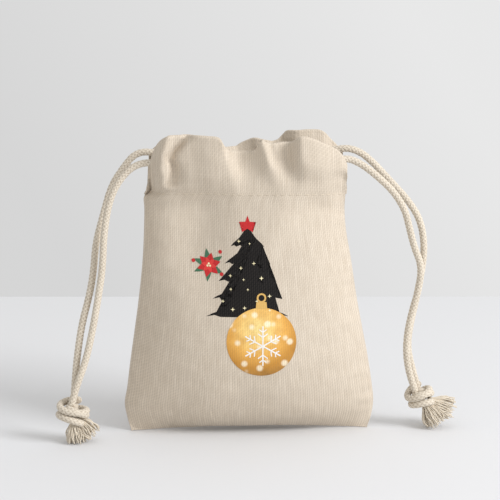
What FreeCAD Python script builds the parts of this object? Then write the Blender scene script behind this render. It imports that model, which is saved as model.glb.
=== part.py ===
import FreeCAD, Part
import math
import os

from FreeCAD import Vector

# Drawstring gift pouch. Millimetres, +Z up, printed front facing -Y, +X to the viewer's right.
# The origin is at the middle of the base.

# Body: half width and half depth of the outside at each height
BODY_SECTIONS = [
    (0.0, 49.0, 8.0),
    (6.0, 51.0, 13.0),
    (14.0, 51.0, 16.5),
    (30.0, 48.5, 19.5),
    (53.0, 45.5, 19.0),
    (75.0, 42.8, 16.0),
    (99.0, 41.3, 12.0),
]
CLOTH = 0.9
CLOTH_AT_EDGE = 2.4  # the wall measured along X where the panels meet at a sharp angle
SEAM_THICKNESS = 0.9
SEAM_WIDTH = 7.0
BOTTOM_SEAM_HEIGHT = 6.0

# Casings: the hemmed tunnels along the mouth
CASING_HALF_LENGTH = 41.0
CASING_BOTTOM = 99.5
CASING_TOP = 121.0
CASING_THICKNESS = 4.8
CASING_WALL = 0.8
CASING_Y = 9.2
STITCH_LENGTH = 2.2
STITCH_PITCH = 3.2
STITCH_WIDTH = 0.35
STITCH_STAND = 0.25
STITCH_Z = 103.0

# Cords
CORD_DIAMETER = 2.8
LEFT_CORD_Z = 111.2
RIGHT_CORD_Z = 115.2
MOVING_GAP = 0.3
STUB_LENGTH = 3.5
HINGE_X = CASING_HALF_LENGTH + MOVING_GAP + STUB_LENGTH + MOVING_GAP + CORD_DIAMETER / 2
TURN_REACH = 2.7
ARC_SHARE = 0.45
SMALLEST_CORD_RADIUS = 3 * CORD_DIAMETER

# Routes of the four free strands, each from its hinge to inside its knot
LEFT_FRONT_ROUTE = [
    (-HINGE_X, -CASING_Y, LEFT_CORD_Z),
    (-54.0, -8.8, 108.0),
    (-58.3, -9.0, 98.0),
    (-59.6, -9.8, 84.0),
    (-60.2, -12.0, 69.0),
    (-62.3, -15.5, 53.0),
    (-65.3, -18.5, 38.5),
    (-68.2, -20.2, 26.5),
    (-70.0, -21.5, 17.0),
]
LEFT_BACK_ROUTE = [
    (-HINGE_X, CASING_Y, LEFT_CORD_Z),
    (-54.5, 7.0, 108.0),
    (-59.5, 3.0, 98.0),
    (-62.0, -2.0, 85.0),
    (-64.0, -7.5, 70.0),
    (-66.5, -12.5, 53.0),
    (-69.2, -16.0, 39.5),
    (-71.2, -18.0, 27.0),
    (-72.8, -19.0, 17.0),
]
RIGHT_FRONT_ROUTE = [
    (HINGE_X, -CASING_Y, RIGHT_CORD_Z),
    (54.0, -8.8, 109.0),
    (60.0, -7.5, 99.0),
    (64.8, -5.5, 86.5),
    (69.0, -3.0, 72.5),
    (69.6, -1.8, 59.0),
    (66.2, -2.0, 46.0),
    (64.8, -1.7, 34.0),
    (66.2, -0.8, 24.5),
    (69.3, 0.2, 16.5),
]
RIGHT_BACK_ROUTE = [
    (HINGE_X, CASING_Y, RIGHT_CORD_Z),
    (54.5, 8.5, 111.0),
    (62.0, 7.0, 101.0),
    (69.0, 5.0, 89.0),
    (72.2, 3.5, 75.0),
    (71.0, 2.5, 60.0),
    (67.3, 1.5, 47.0),
    (65.6, 2.0, 35.0),
    (67.2, 3.0, 25.0),
    (70.2, 3.6, 16.5),
]

# Knots: centre and half sizes. Tassels: direction from the knot's centre and length
LEFT_KNOT = ((-71.9, -20.0, 12.6), (6.7, 5.5, 5.2))
RIGHT_KNOT = ((71.2, 2.0, 13.4), (6.0, 5.4, 5.0))
LEFT_TASSELS = {"front": ((-0.22, -0.1, -0.97), 11.4), "back": ((0.62, 0.15, -0.77), 12.4)}
RIGHT_TASSELS = {"front": ((0.45, -0.1, -0.89), 13.2), "back": ((0.95, 0.2, -0.33), 15.5)}
TASSEL_START_RADIUS = 1.9
TASSEL_END_RADIUS = 3.2

# Print: a thin film over a bauble, a fir tree and a small flower
FILM = 0.25
BAUBLE = (4.6, 41.5, 14.2)
FLOWER = (-16.4, 72.0, 7.5)
TREE = [(-18.0, 54.0), (16.0, 54.0), (-0.5, 91.0)]


def box(x0, x1, y0, y1, z0, z1):
    """An upright box between two corners."""
    return Part.makeBox(x1 - x0, y1 - y0, z1 - z0, Vector(x0, y0, z0))


def lens(half_width, half_depth, z):
    """A level outline of two shallow arcs that meet at the side seams."""
    left = Vector(-half_width, 0, z)
    right = Vector(half_width, 0, z)
    front = Part.Arc(left, Vector(0, -half_depth, z), right).toShape()
    back = Part.Arc(right, Vector(0, half_depth, z), left).toShape()
    return Part.Wire([front, back])


def body_loft(grow_width=0.0, grow_depth=0.0, floor=0.0, above_top=0.0):
    """The stuffed body's closed shape, grown or shrunk all round."""
    outlines = []
    for z, half_width, half_depth in BODY_SECTIONS:
        if z == BODY_SECTIONS[0][0]:
            z += floor
        if z == BODY_SECTIONS[-1][0]:
            z += above_top
        outlines.append(lens(half_width + grow_width, half_depth + grow_depth, z))
    return Part.makeLoft(outlines, True)


def panel(side):
    """One cloth panel of the body with its half of the base; side is -1 in front and 1 behind."""
    shell = body_loft().cut(body_loft(-CLOTH_AT_EDGE, -CLOTH, CLOTH, 1.0))
    clear = SEAM_THICKNESS / 2
    near, far = sorted([side * clear, side * 60])
    return shell.common(box(-60, 60, near, far, -1, CASING_BOTTOM))


def side_seam(side):
    """The sewn allowance between the panels along one side edge."""
    outline = [Vector(side * 60, 0, 0)]
    for z, half_width, _ in BODY_SECTIONS:
        outline.append(Vector(side * (half_width - SEAM_WIDTH), 0, z))
    outline.append(Vector(side * 60, 0, BODY_SECTIONS[-1][0]))
    outline.append(outline[0])
    face = Part.Face(Part.makePolygon(outline))
    face.translate(Vector(0, -SEAM_THICKNESS / 2, 0))
    slab = face.extrude(Vector(0, SEAM_THICKNESS, 0))
    return slab.common(body_loft())


def bottom_seam():
    """The allowance that stands up inside the base, between the two side seams."""
    half = SEAM_THICKNESS / 2
    slab = box(-60, 60, -half, half, 0, BOTTOM_SEAM_HEIGHT).common(body_loft())
    return slab.cut(side_seam(-1)).cut(side_seam(1))


def racetrack(thickness, bottom, top, y):
    """An upright outline with round top and bottom, across the end of a casing."""
    radius = thickness / 2
    x = -CASING_HALF_LENGTH
    low, high = bottom + radius, top - radius
    edges = [
        Part.LineSegment(Vector(x, y - radius, low), Vector(x, y - radius, high)).toShape(),
        Part.Arc(
            Vector(x, y - radius, high), Vector(x, y, top), Vector(x, y + radius, high)
        ).toShape(),
        Part.LineSegment(Vector(x, y + radius, high), Vector(x, y + radius, low)).toShape(),
        Part.Arc(
            Vector(x, y + radius, low), Vector(x, y, bottom), Vector(x, y - radius, low)
        ).toShape(),
    ]
    return Part.Face(Part.Wire(edges))


def casing(side):
    """The folded hem as an open-ended tunnel along the mouth."""
    y = side * CASING_Y
    length = Vector(2 * CASING_HALF_LENGTH, 0, 0)
    outside = racetrack(CASING_THICKNESS, CASING_BOTTOM, CASING_TOP, y).extrude(length)
    inner_thickness = CASING_THICKNESS - 2 * CASING_WALL
    inner = racetrack(inner_thickness, CASING_BOTTOM + CASING_WALL, CASING_TOP - CASING_WALL, y)
    return outside.cut(inner.extrude(length))


def stitching(side):
    """The row of stitches that closes the hem, as separate threads on its outer face."""
    face_y = side * (CASING_Y + CASING_THICKNESS / 2)
    near, far = sorted([face_y, face_y + side * STITCH_STAND])
    count = int(2 * CASING_HALF_LENGTH / STITCH_PITCH)
    first = -(count - 1) / 2 * STITCH_PITCH - STITCH_LENGTH / 2
    low = STITCH_Z - STITCH_WIDTH / 2
    stitches = []
    for number in range(count):
        x = first + number * STITCH_PITCH
        stitches.append(box(x, x + STITCH_LENGTH, near, far, low, low + STITCH_WIDTH))
    return Part.makeCompound(stitches)


def cord_rod(x0, x1, y, z):
    """A straight stretch of cord along X."""
    return Part.makeCylinder(CORD_DIAMETER / 2, x1 - x0, Vector(x0, y, z), Vector(1, 0, 0))


def cord_run(side, z):
    """A cord's stretch inside one casing."""
    return cord_rod(-CASING_HALF_LENGTH, CASING_HALF_LENGTH, side * CASING_Y, z)


def cord_stub(end, side, z):
    """The short piece of cord between a casing's end and the free strand; end is -1 or 1 along X."""
    near = CASING_HALF_LENGTH + MOVING_GAP
    x0, x1 = sorted([end * near, end * (near + STUB_LENGTH)])
    return cord_rod(x0, x1, side * CASING_Y, z)


def rounded_path(points):
    """Straight runs joined by tangent arcs, with the arcs' radii."""
    edges = []
    radii = []
    start = points[0]
    for before, corner, after in zip(points, points[1:], points[2:]):
        incoming = corner - before
        outgoing = after - corner
        turn = incoming.getAngle(outgoing)
        reach = ARC_SHARE * min(incoming.Length, outgoing.Length)
        incoming.normalize()
        outgoing.normalize()
        radius = reach / math.tan(turn / 2)
        inward = outgoing - incoming
        inward.normalize()
        arc_start = corner - incoming * reach
        arc_end = corner + outgoing * reach
        arc_middle = corner + inward * (radius / math.cos(turn / 2) - radius)
        edges.append(Part.LineSegment(start, arc_start).toShape())
        edges.append(Part.Arc(arc_start, arc_middle, arc_end).toShape())
        radii.append(radius)
        start = arc_end
    edges.append(Part.LineSegment(start, points[-1]).toShape())
    return Part.Wire(edges), radii


def cord_tube(name, points):
    """A cord swept along its rounded path, with its radii and volume printed."""
    corners = [Vector(*point) for point in points]
    path, radii = rounded_path(corners)
    direction = corners[1] - corners[0]
    section = Part.Wire(Part.Circle(corners[0], direction, CORD_DIAMETER / 2).toShape())
    tube = path.makePipeShell([section], True, True)
    expected = math.pi * (CORD_DIAMETER / 2) ** 2 * path.Length
    tightest = min(radii)
    print(
        f"{name}: length {path.Length:.1f}, radii {[round(r, 1) for r in radii]}, "
        f"volume {tube.Volume:.1f} of {expected:.1f}, valid {tube.isValid()}"
    )
    return tube, tightest


def cord_turn(end, z):
    """The cord's short crossing from one casing to the other at the mouth's end."""
    start_x = end * (CASING_HALF_LENGTH + MOVING_GAP)
    turn_x = start_x + end * TURN_REACH
    points = [
        (start_x, -CASING_Y, z),
        (turn_x, -CASING_Y, z),
        (turn_x, CASING_Y, z),
        (start_x, CASING_Y, z),
    ]
    return cord_tube(f"turn at {end}", points)[0]


def knot(centre, half_sizes):
    """An overhand knot's outer shape: a rounded lump."""
    ball = Part.makeSphere(1.0)
    stretch = FreeCAD.Matrix()
    stretch.scale(*half_sizes)
    shape = ball.transformGeometry(stretch)
    shape.translate(Vector(*centre))
    return shape


def tassel(knot_shape, centre, direction, length):
    """A frayed end's outer shape: a cone that flares away from the knot."""
    cone = Part.makeCone(
        TASSEL_START_RADIUS, TASSEL_END_RADIUS, length, Vector(*centre), Vector(*direction)
    )
    return cone.cut(knot_shape)


def tie(name, routes, knot_size, tassels):
    """The free strands of one cord with their knot and frayed ends."""
    centre, half_sizes = knot_size
    knot_shape = knot(centre, half_sizes)
    pieces = {f"{name}_knot": knot_shape}
    for side, route in routes.items():
        tube, tightest = cord_tube(f"{name}_strand_{side}", route)
        assert tightest >= SMALLEST_CORD_RADIUS
        pieces[f"{name}_strand_{side}"] = tube.cut(knot_shape)
    for side, (direction, length) in tassels.items():
        pieces[f"{name}_tassel_{side}"] = tassel(knot_shape, centre, direction, length)
    return pieces


def disc_prism(x, z, radius):
    """A round bar along Y in front of the body."""
    return Part.makeCylinder(radius, 60, Vector(x, -60, z), Vector(0, 1, 0))


def printed_motif():
    """The printed film on the front panel."""
    film = body_loft(FILM, FILM).cut(body_loft())
    corners = [Vector(x, -60, z) for x, z in TREE]
    triangle = Part.Face(Part.makePolygon(corners + corners[:1]))
    outline = triangle.extrude(Vector(0, 60, 0))
    outline = outline.fuse([disc_prism(*BAUBLE), disc_prism(*FLOWER)])
    return film.common(outline)


def pouch_pieces():
    """Every sub-part by name."""
    pieces = {
        "front_panel": panel(-1),
        "back_panel": panel(1),
        "left_side_seam": side_seam(-1),
        "right_side_seam": side_seam(1),
        "bottom_seam": bottom_seam(),
        "printed_motif": printed_motif(),
        "left_cord_turn": cord_turn(1, LEFT_CORD_Z),
        "right_cord_turn": cord_turn(-1, RIGHT_CORD_Z),
    }
    for side_name, side in (("front", -1), ("back", 1)):
        pieces[f"{side_name}_casing"] = casing(side)
        pieces[f"{side_name}_casing_stitching"] = stitching(side)
        pieces[f"left_cord_{side_name}_run"] = cord_run(side, LEFT_CORD_Z)
        pieces[f"right_cord_{side_name}_run"] = cord_run(side, RIGHT_CORD_Z)
        pieces[f"left_cord_{side_name}_stub"] = cord_stub(-1, side, LEFT_CORD_Z)
        pieces[f"right_cord_{side_name}_stub"] = cord_stub(1, side, RIGHT_CORD_Z)
    left_routes = {"front": LEFT_FRONT_ROUTE, "back": LEFT_BACK_ROUTE}
    right_routes = {"front": RIGHT_FRONT_ROUTE, "back": RIGHT_BACK_ROUTE}
    pieces.update(tie("left", left_routes, LEFT_KNOT, LEFT_TASSELS))
    pieces.update(tie("right", right_routes, RIGHT_KNOT, RIGHT_TASSELS))
    return pieces


os.makedirs("parts", exist_ok=True)
for node, shape in pouch_pieces().items():
    limits = shape.BoundBox
    print(
        f"{node}: {len(shape.Solids)} solid, {shape.Volume:.1f} mm3, valid {shape.isValid()}, "
        f"z {limits.ZMin:.2f} to {limits.ZMax:.2f}"
    )
    shape.exportStep(f"parts/{node}.step")
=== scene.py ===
"""Drawstring gift pouch: cloth, print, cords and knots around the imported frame.

Shapes are worked out in millimetres in the frame's own axes and become metres when a mesh is made.
"""
import math

import bmesh
import bpy
import numpy as np
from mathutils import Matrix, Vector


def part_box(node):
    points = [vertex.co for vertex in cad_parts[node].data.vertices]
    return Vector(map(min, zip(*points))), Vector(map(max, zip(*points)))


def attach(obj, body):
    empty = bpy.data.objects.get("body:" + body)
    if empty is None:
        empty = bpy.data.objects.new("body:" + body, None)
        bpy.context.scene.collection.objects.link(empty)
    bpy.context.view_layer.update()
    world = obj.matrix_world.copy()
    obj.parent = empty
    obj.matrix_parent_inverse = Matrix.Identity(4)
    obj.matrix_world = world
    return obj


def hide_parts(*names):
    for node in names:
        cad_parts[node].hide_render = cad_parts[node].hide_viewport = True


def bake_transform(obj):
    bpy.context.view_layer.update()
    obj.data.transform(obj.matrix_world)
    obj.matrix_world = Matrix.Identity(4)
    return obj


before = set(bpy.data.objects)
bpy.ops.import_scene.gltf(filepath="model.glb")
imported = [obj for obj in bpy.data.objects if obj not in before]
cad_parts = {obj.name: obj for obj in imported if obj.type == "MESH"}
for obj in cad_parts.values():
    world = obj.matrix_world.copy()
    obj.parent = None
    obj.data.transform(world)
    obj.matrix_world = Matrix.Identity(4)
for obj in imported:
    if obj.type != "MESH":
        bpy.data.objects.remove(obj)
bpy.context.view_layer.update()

MM = 0.001
SEED = 7


def node_box(node):
    """A CAD node's lowest and highest corners, in millimetres."""
    low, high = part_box(node)
    return np.array(low) / MM, np.array(high) / MM


def put_in_scene(name, data):
    """A new object in the scene that shows some data."""
    thing = bpy.data.objects.new(name, data)
    bpy.context.scene.collection.objects.link(thing)
    return thing


# --- camera, light and stage ---

CAMERA_DISTANCE = 700.0
CAMERA_ELEVATION = math.radians(10)
VIEW_WIDTH = 205.5  # width of the view at the pouch
AIM_HEIGHT = 75.9
FLOOR_END = 275.0  # how far behind the pouch the floor meets the pale surround
FLOOR_REACH = 3000.0
FLOOR_PAINT = (0.738, 0.738, 0.742)
SENSOR = 36.0

KEY_PLACE = (1.24, -0.71, 0.79)  # in metres, like its aim and its size
KEY_AIM = (0.0, 0.0, 0.06)
KEY_SIZE = 0.75
KEY_POWER = 20.2
KEY_COLOUR = (0.985, 1.0, 1.035)
GLOW_SIDE = (0.5, 0.0, 0.3)  # the side on which the surround is brighter
GLOW_RANGE = {"From Min": -0.105, "From Max": 0.035, "To Min": 0.67, "To Max": 0.81}


def make_camera():
    """A long lens in front of the pouch, looking slightly down."""
    data = bpy.data.cameras.new("camera")
    data.sensor_width = SENSOR
    data.lens = SENSOR * CAMERA_DISTANCE / VIEW_WIDTH
    data.clip_start = 0.01
    data.clip_end = 20
    camera = put_in_scene("camera", data)
    back = CAMERA_DISTANCE * MM * math.cos(CAMERA_ELEVATION)
    up = CAMERA_DISTANCE * MM * math.sin(CAMERA_ELEVATION)
    camera.location = (0, -back, AIM_HEIGHT * MM + up)
    camera.rotation_euler = (math.pi / 2 - CAMERA_ELEVATION, 0, 0)
    bpy.context.scene.camera = camera


def make_key_light():
    """A large square soft light at the right front, turned towards the pouch."""
    data = bpy.data.lights.new("key", "AREA")
    data.size = KEY_SIZE
    data.energy = KEY_POWER
    data.color = KEY_COLOUR
    light = put_in_scene("key", data)
    light.location = KEY_PLACE
    x, y, z = np.array(KEY_AIM) - np.array(KEY_PLACE)
    light.rotation_euler = (math.atan2(math.hypot(x, y), -z), 0, math.atan2(x, -y) + math.pi)


def make_surround():
    """A pale surround, a little brighter on the key's side."""
    world = bpy.data.worlds.new("surround")
    world.use_nodes = True
    tree = world.node_tree
    background = tree.nodes["Background"]
    background.inputs["Color"].default_value = (1, 1, 1, 1)
    direction = tree.nodes.new("ShaderNodeTexCoord").outputs["Generated"]
    slope = tree.nodes.new("ShaderNodeVectorMath")
    slope.operation = "DOT_PRODUCT"
    slope.inputs[1].default_value = GLOW_SIDE
    glow = tree.nodes.new("ShaderNodeMapRange")
    for socket, value in GLOW_RANGE.items():
        glow.inputs[socket].default_value = value
    tree.links.new(direction, slope.inputs[0])
    tree.links.new(slope.outputs["Value"], glow.inputs["Value"])
    tree.links.new(glow.outputs["Result"], background.inputs["Strength"])
    bpy.context.scene.world = world


def make_stage():
    """A pale floor that ends in front of the surround."""
    side = FLOOR_REACH
    corners = [(-side, -side, 0), (side, -side, 0), (side, FLOOR_END, 0), (-side, FLOOR_END, 0)]
    mesh = bpy.data.meshes.new("floor")
    mesh.from_pydata([tuple(c * MM for c in corner) for corner in corners], [], [(0, 1, 2, 3)])
    mesh.materials.append(matt_material("floor_paint", FLOOR_PAINT))
    put_in_scene("floor", mesh)


# --- small mathematics ---


def smoothstep(value, low, high):
    """0 below low, 1 above high and smooth between them."""
    share = np.clip((value - low) / (high - low), 0, 1)
    return share * share * (3 - 2 * share)


def smooth_through(value, table):
    """A smooth curve with no overshoot through a table of (place, height)."""
    x = np.array([row[0] for row in table], float)
    y = np.array([row[1] for row in table], float)
    step = np.diff(x)
    slope = np.diff(y) / step
    tangent = np.concatenate([[slope[0]], (slope[1:] + slope[:-1]) / 2, [slope[-1]]])
    turning = slope[1:] * slope[:-1] <= 0
    tangent[1:-1][turning] = 0
    for k in range(len(slope)):
        limit = 3 * abs(slope[k])
        tangent[k] = np.clip(tangent[k], -limit, limit)
        tangent[k + 1] = np.clip(tangent[k + 1], -limit, limit)
    value = np.clip(value, x[0], x[-1])
    k = np.clip(np.searchsorted(x, value) - 1, 0, len(step) - 1)
    t = (value - x[k]) / step[k]
    return (
        y[k] * (2 * t**3 - 3 * t**2 + 1)
        + step[k] * tangent[k] * (t**3 - 2 * t**2 + t)
        + y[k + 1] * (3 * t**2 - 2 * t**3)
        + step[k] * tangent[k + 1] * (t**3 - t**2)
    )


def unit(vectors):
    """Vectors of length one, along the last axis."""
    return vectors / np.maximum(np.linalg.norm(vectors, axis=-1, keepdims=True), 1e-12)


def ripple(x, z, waves, seed):
    """A soft unevenness from a few seeded sine waves of (wavelength, height)."""
    random = np.random.RandomState(seed)
    total = np.zeros(np.broadcast(x, z).shape)
    for wavelength, height in waves:
        angle = random.uniform(0, math.pi)
        phase = random.uniform(0, 2 * math.pi)
        along = x * math.cos(angle) + z * math.sin(angle)
        total = total + height * np.sin(2 * math.pi * along / wavelength + phase)
    return total


def arc_length(points):
    """The distance along a line of points, starting from 0."""
    return np.concatenate([[0], np.cumsum(np.linalg.norm(np.diff(points, axis=0), axis=1))])


def places_on(points, length, along):
    """Places on a line of points, given each point's length and the lengths that are wanted."""
    return np.stack([np.interp(along, length, points[:, k]) for k in range(3)], axis=1)


# --- the cloth's shape ---

FLAT_WIDTH = 100.0
CLOTH_THICKNESS = 0.6
STITCH_HEIGHT = node_box("front_casing")[0][2] + 0.5
SEAM_TOP = node_box("front_panel")[1][2]
CASING_RISE = 20.0
HEM_RADIUS = 1.1
EDGE_RECESS = 0.7
TWIST = 2.6  # how far the foot is turned: the left corner comes forward and the right one goes back
TWIST_TOP = 70  # the height where the turn has faded out
OUTWARD = {"front": -1, "back": 1}  # each panel's outward way along Y

# Centre line of a panel: distance out from the seam's plane, and height
CENTRE_LINE = [
    (0.3, 1.5), (3.2, 2.2), (6.4, 3.9), (9.7, 6.6), (12.6, 10.4), (15.2, 15.6), (17.6, 23.0),
    (19.2, 31.5), (19.6, 42.0), (19.0, 53.0), (17.9, 64.0), (16.3, 75.0), (14.5, 86.0),
    (13.1, 95.0), (12.6, STITCH_HEIGHT),
]

# Side edges: height and X
LEFT_EDGE = [
    (0, -50.2), (5, -51.6), (12, -52.8), (18, -51.8), (29, -50.4),
    (43, -48.4), (56, -46.6), (73, -44.8), (90, -44.0), (99, -43.8),
]
RIGHT_EDGE = [
    (0, 49.8), (5, 51.4), (12, 52.3), (18, 51.7), (33, 49.3),
    (43, 47.3), (56, 44.8), (73, 42.1), (85, 40.0), (99, 39.0),
]
CASING_ENDS = {"front": (-40.2, 39.2), "back": (-41.8, 38.3)}

# Rim: X and height of the folded edge's top
RIM = {
    "front": [
        (-41, 111.5), (-39.8, 116.0), (-38, 120.3), (-36, 122.8), (-33.5, 124.2), (-30, 124.6),
        (-24, 124.6), (-17, 124.4), (-13, 124.0), (-10.8, 122.2), (-9.0, 119.6), (-7.0, 118.2),
        (0, 117.9), (1.8, 118.7), (3.8, 122.2), (5.4, 122.8), (7.4, 121.6), (9, 121.2),
        (13.5, 121.5), (16, 121.8), (18.6, 124.0), (21, 124.4), (25, 123.6), (29, 121.9),
        (34, 119.4), (37, 117.0), (39, 113.5), (40, 110.5),
    ],
    "back": [
        (-43, 112.0), (-41, 116.0), (-36, 118.5), (-20, 118.6), (-10, 117.6), (-6.5, 117.6),
        (-4.2, 118.8), (-1.7, 119.8), (0.8, 120.8), (3.3, 121.2), (5.8, 120.5), (8.5, 119.8),
        (11, 120.4), (13.3, 122.4), (16, 124.0), (20, 124.6), (24, 124.9), (28, 124.8),
        (30.7, 123.6), (33.2, 120.9), (36, 118.4), (39, 115.0), (41, 111.0),
    ],
}

# Folds of the gathered top: the way of the fold's crest as (height, X), its width to the left and
# right, how far it stands out, and the heights between which it fades in
FRONT_FOLDS = [
    ([(100, -37.0), (112, -36.4), (117, -35.4), (124, -33.0)], 3.4, 3.0, 3.8, (100.6, 104.2)),
    ([(102.6, -34.6), (104, -33.0), (107.3, -31.1), (110, -30.7), (112.3, -31.0), (115, -32.3),
      (117.2, -31.6), (119.6, -29.3), (123.5, -25.6)],
     1.3, 2.2, -2.7, (101.6, 104.4)),
    ([(95, -5.6), (103, -7.2), (108, -8.2), (113, -9.4), (118, -10.8), (123, -11.3)],
     12.0, 2.6, 3.6, (99.5, 115.0)),
    ([(98, -2.4), (124, -2.4)], 4.4, 4.6, -2.4, (101.0, 120.0)),
    ([(96, 14.5), (103.9, 11.6), (107.5, 9.7), (111.8, 8.4), (116, 7.0), (120.4, 5.1), (123.5, 3.8)],
     3.0, 3.2, 2.8, (99.5, 115.0)),
    ([(110, 10.6), (116, 9.2), (123, 6.9)], 1.1, 1.5, -1.6, (110.0, 117.0)),
    ([(98, 20.0), (112, 15.6), (124, 14.0)], 3.6, 3.0, -2.8, (102.0, 115.0)),
    ([(92, 27.0), (105, 23.4), (114, 20.8), (124, 20.6)], 3.4, 11.0, 4.2, (100.0, 115.0)),
]
FOLD_SPREAD = 0.8  # how much wider a fold gets below the height where it is full
BACK_FOLD_SHARE = 0.75

# Unevenness of the cloth as seeded waves of (wavelength, height): all over, and along the gathers
CLOTH_WAVES = [(23, 0.10), (17, 0.08), (31, 0.14), (11, 0.05), (8, 0.03)]
GATHER_WAVES = [(7.0, 0.08), (4.6, 0.05), (9.5, 0.08)]
PUCKER_PITCH = 6.3
PUCKER_HEIGHT = 0.22
PUCKER_REACH = 2.5
STITCH_DIP = 0.03

# Heights between which the gathers begin, and the belly's shape gives way to the casing's
GATHER_START = (88, 101)
CASING_START = (93.0, 104.0)
BELLY_POWERS = (2.2, 0.72)  # the powers that round a level section of the belly
CASING_LEAN = 1.7  # how far a casing's middle leans in on the way to the rim
CASING_BOW = 0.9  # how much of that it comes out again near the rim
END_DEPTH = 0.6  # a casing's depth at its ends, at the stitches
END_OPENING = 7.8  # how much deeper its ends are at the rim

# Broad, flat places of the front: X, half width, how far they stand out, and the heights between
# which they fade in and out
FRONT_FACETS = [
    (-20.0, 13.0, -4.0, (50, 80), (94, 109)),
    (13.0, 12.0, 1.3, (66, 88), (95, 108)),
]


def fold_height(x, z):
    """How far the gathers stand out towards the front at a place."""
    total = np.zeros(np.broadcast(x, z).shape)
    for path, left, right, height, (fade, full) in FRONT_FOLDS:
        offset = x - smooth_through(z, path)
        spread = 1 + FOLD_SPREAD * (1 - smoothstep(z, fade, full + 8))
        width = np.where(offset < 0, left, right) * spread
        total = total + height * smoothstep(z, fade, full) * np.exp(-((offset / width) ** 2))
    return total


def facet_height(x, z):
    """How far the front's broad flat places stand out."""
    total = np.zeros(np.broadcast(x, z).shape)
    for middle, half_width, height, rise, fall in FRONT_FACETS:
        share = smoothstep(z, *rise) * (1 - smoothstep(z, *fall))
        total = total + height * share * np.exp(-(((x - middle) / half_width) ** 2))
    return total


def centre_profile():
    """The centre line in fine steps: its places, and their lengths from the seam."""
    corners = np.array(CENTRE_LINE)
    along = arc_length(corners)
    fine = np.linspace(0, along[-1], 1200)
    line = [smooth_through(fine, list(zip(along, corners[:, k]))) for k in range(2)]
    line = np.stack(line, axis=1)
    return line, arc_length(line)


PROFILE, PROFILE_LENGTH = centre_profile()
BODY_LENGTH = PROFILE_LENGTH[-1]


def edge_x(table, casing_x, height):
    """A side edge's X: the body's below the seam's top and the casing's end above it."""
    body = smooth_through(height, table)
    return body + (casing_x - body) * smoothstep(height, SEAM_TOP - 2.5, SEAM_TOP + 3.5)


def puckers(edge, z, seed):
    """Small gathers that fade away from a seam, by distance from it and place along it."""
    wave = np.sin(2 * math.pi * z / PUCKER_PITCH + 1.5 * np.sin(z / 9.0 + seed))
    share = edge / PUCKER_REACH
    return PUCKER_HEIGHT * wave * share * np.exp(1 - share)


def foot_turn(u, z):
    """How far back the turned foot takes a place."""
    return TWIST * u * (1 - smoothstep(z, 0, TWIST_TOP))


def cloth_relief(side, u, x, z):
    """The cloth's small unevenness, the ripple of its gathers and the dip along the stitches."""
    seed = OUTWARD[side]
    edge = (1 - np.abs(u)) * FLAT_WIDTH / 2
    unevenness = ripple(x, z, CLOTH_WAVES, SEED + seed) * smoothstep(edge, 0, 8)
    unevenness = unevenness + puckers(edge, z, seed) * smoothstep(z, 3, 12)
    gathers = ripple(x, z * 0.15, GATHER_WAVES, SEED + 10 + seed)
    gathers = gathers * smoothstep(z, *GATHER_START) * smoothstep(edge, 0, 4)
    return unevenness + gathers - STITCH_DIP * np.exp(-(((z - STITCH_HEIGHT - 0.4) / 1.1) ** 2))


def outer_surface(side, u, length, casing):
    """Points on a panel's outside.

    u runs from -1 at the left seam to 1 at the right one. length is the distance up from the
    bottom seam, and casing the share of the way from the stitch line to the rim.
    """
    aside = np.abs(u)
    out = np.interp(length, PROFILE_LENGTH, PROFILE[:, 0])
    centre_z = np.interp(length, PROFILE_LENGTH, PROFILE[:, 1])
    edge_z = SEAM_TOP * length / BODY_LENGTH
    to_edge = aside ** (2.0 + 2.0 * smoothstep(length, 0, 30))
    z = centre_z * (1 - to_edge) + edge_z * to_edge
    guess = z + casing * CASING_RISE
    left_x, right_x = CASING_ENDS[side]
    left = edge_x(LEFT_EDGE, left_x, guess)
    right = edge_x(RIGHT_EDGE, right_x, guess)
    recess = EDGE_RECESS * smoothstep(aside, 0.965, 1.0) * (1 - smoothstep(guess, 92, 101))
    x = (left + right) / 2 + u * ((right - left) / 2 - recess)
    rim = smooth_through(x, RIM[side]) - HEM_RADIUS
    z = z + casing * (rim - z)
    body_depth = out * (1 - aside ** BELLY_POWERS[0]) ** BELLY_POWERS[1]
    casing_out = CENTRE_LINE[-1][0] - CASING_LEAN * casing + CASING_BOW * casing**2
    end_out = END_DEPTH + END_OPENING * smoothstep(casing, 0.0, 0.85)
    casing_depth = casing_out - (casing_out - end_out) * aside**6
    into_casing = smoothstep(z, *CASING_START)
    depth = body_depth * (1 - into_casing) + casing_depth * into_casing
    folds = fold_height(x, z) * (1 - aside**14)
    stand = cloth_relief(side, u, x, z)
    if side == "front":
        y = -(depth + folds + stand + facet_height(x, z) * (1 - aside**6))
    else:
        y = depth - BACK_FOLD_SHARE * folds + stand
    return np.stack(np.broadcast_arrays(x, y + foot_turn(u, z), z), axis=-1)


def grid_normals(points, sign):
    """Unit normals of a grid of points whose rows go up; sign is -1 in front and 1 behind."""
    across = np.gradient(points, axis=1)
    up = np.gradient(points, axis=0)
    return -sign * unit(np.cross(across, up))


def smoothed_rows(points, reach=9):
    """Rows of points with their narrow folds evened out in Y."""
    window = np.hanning(2 * reach + 3)[1:-1]
    window = window / window.sum()
    result = points.copy()
    padded = np.pad(points[..., 1], ((0, 0), (reach, reach)), mode="reflect", reflect_type="odd")
    for k, row in enumerate(padded):
        result[k, :, 1] = np.convolve(row, window, mode="valid")
    return result


BODY_ROWS = 124
CASING_ROWS = 40
CAP_ROWS = 8
HEM_ROWS = 32
HALF_COLUMNS = 92
HEM_GAP = [(0.0, 1.0), (0.25, 4.1), (0.5, 5.0), (0.8, 4.2), (1.0, 2 * HEM_RADIUS)]


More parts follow.
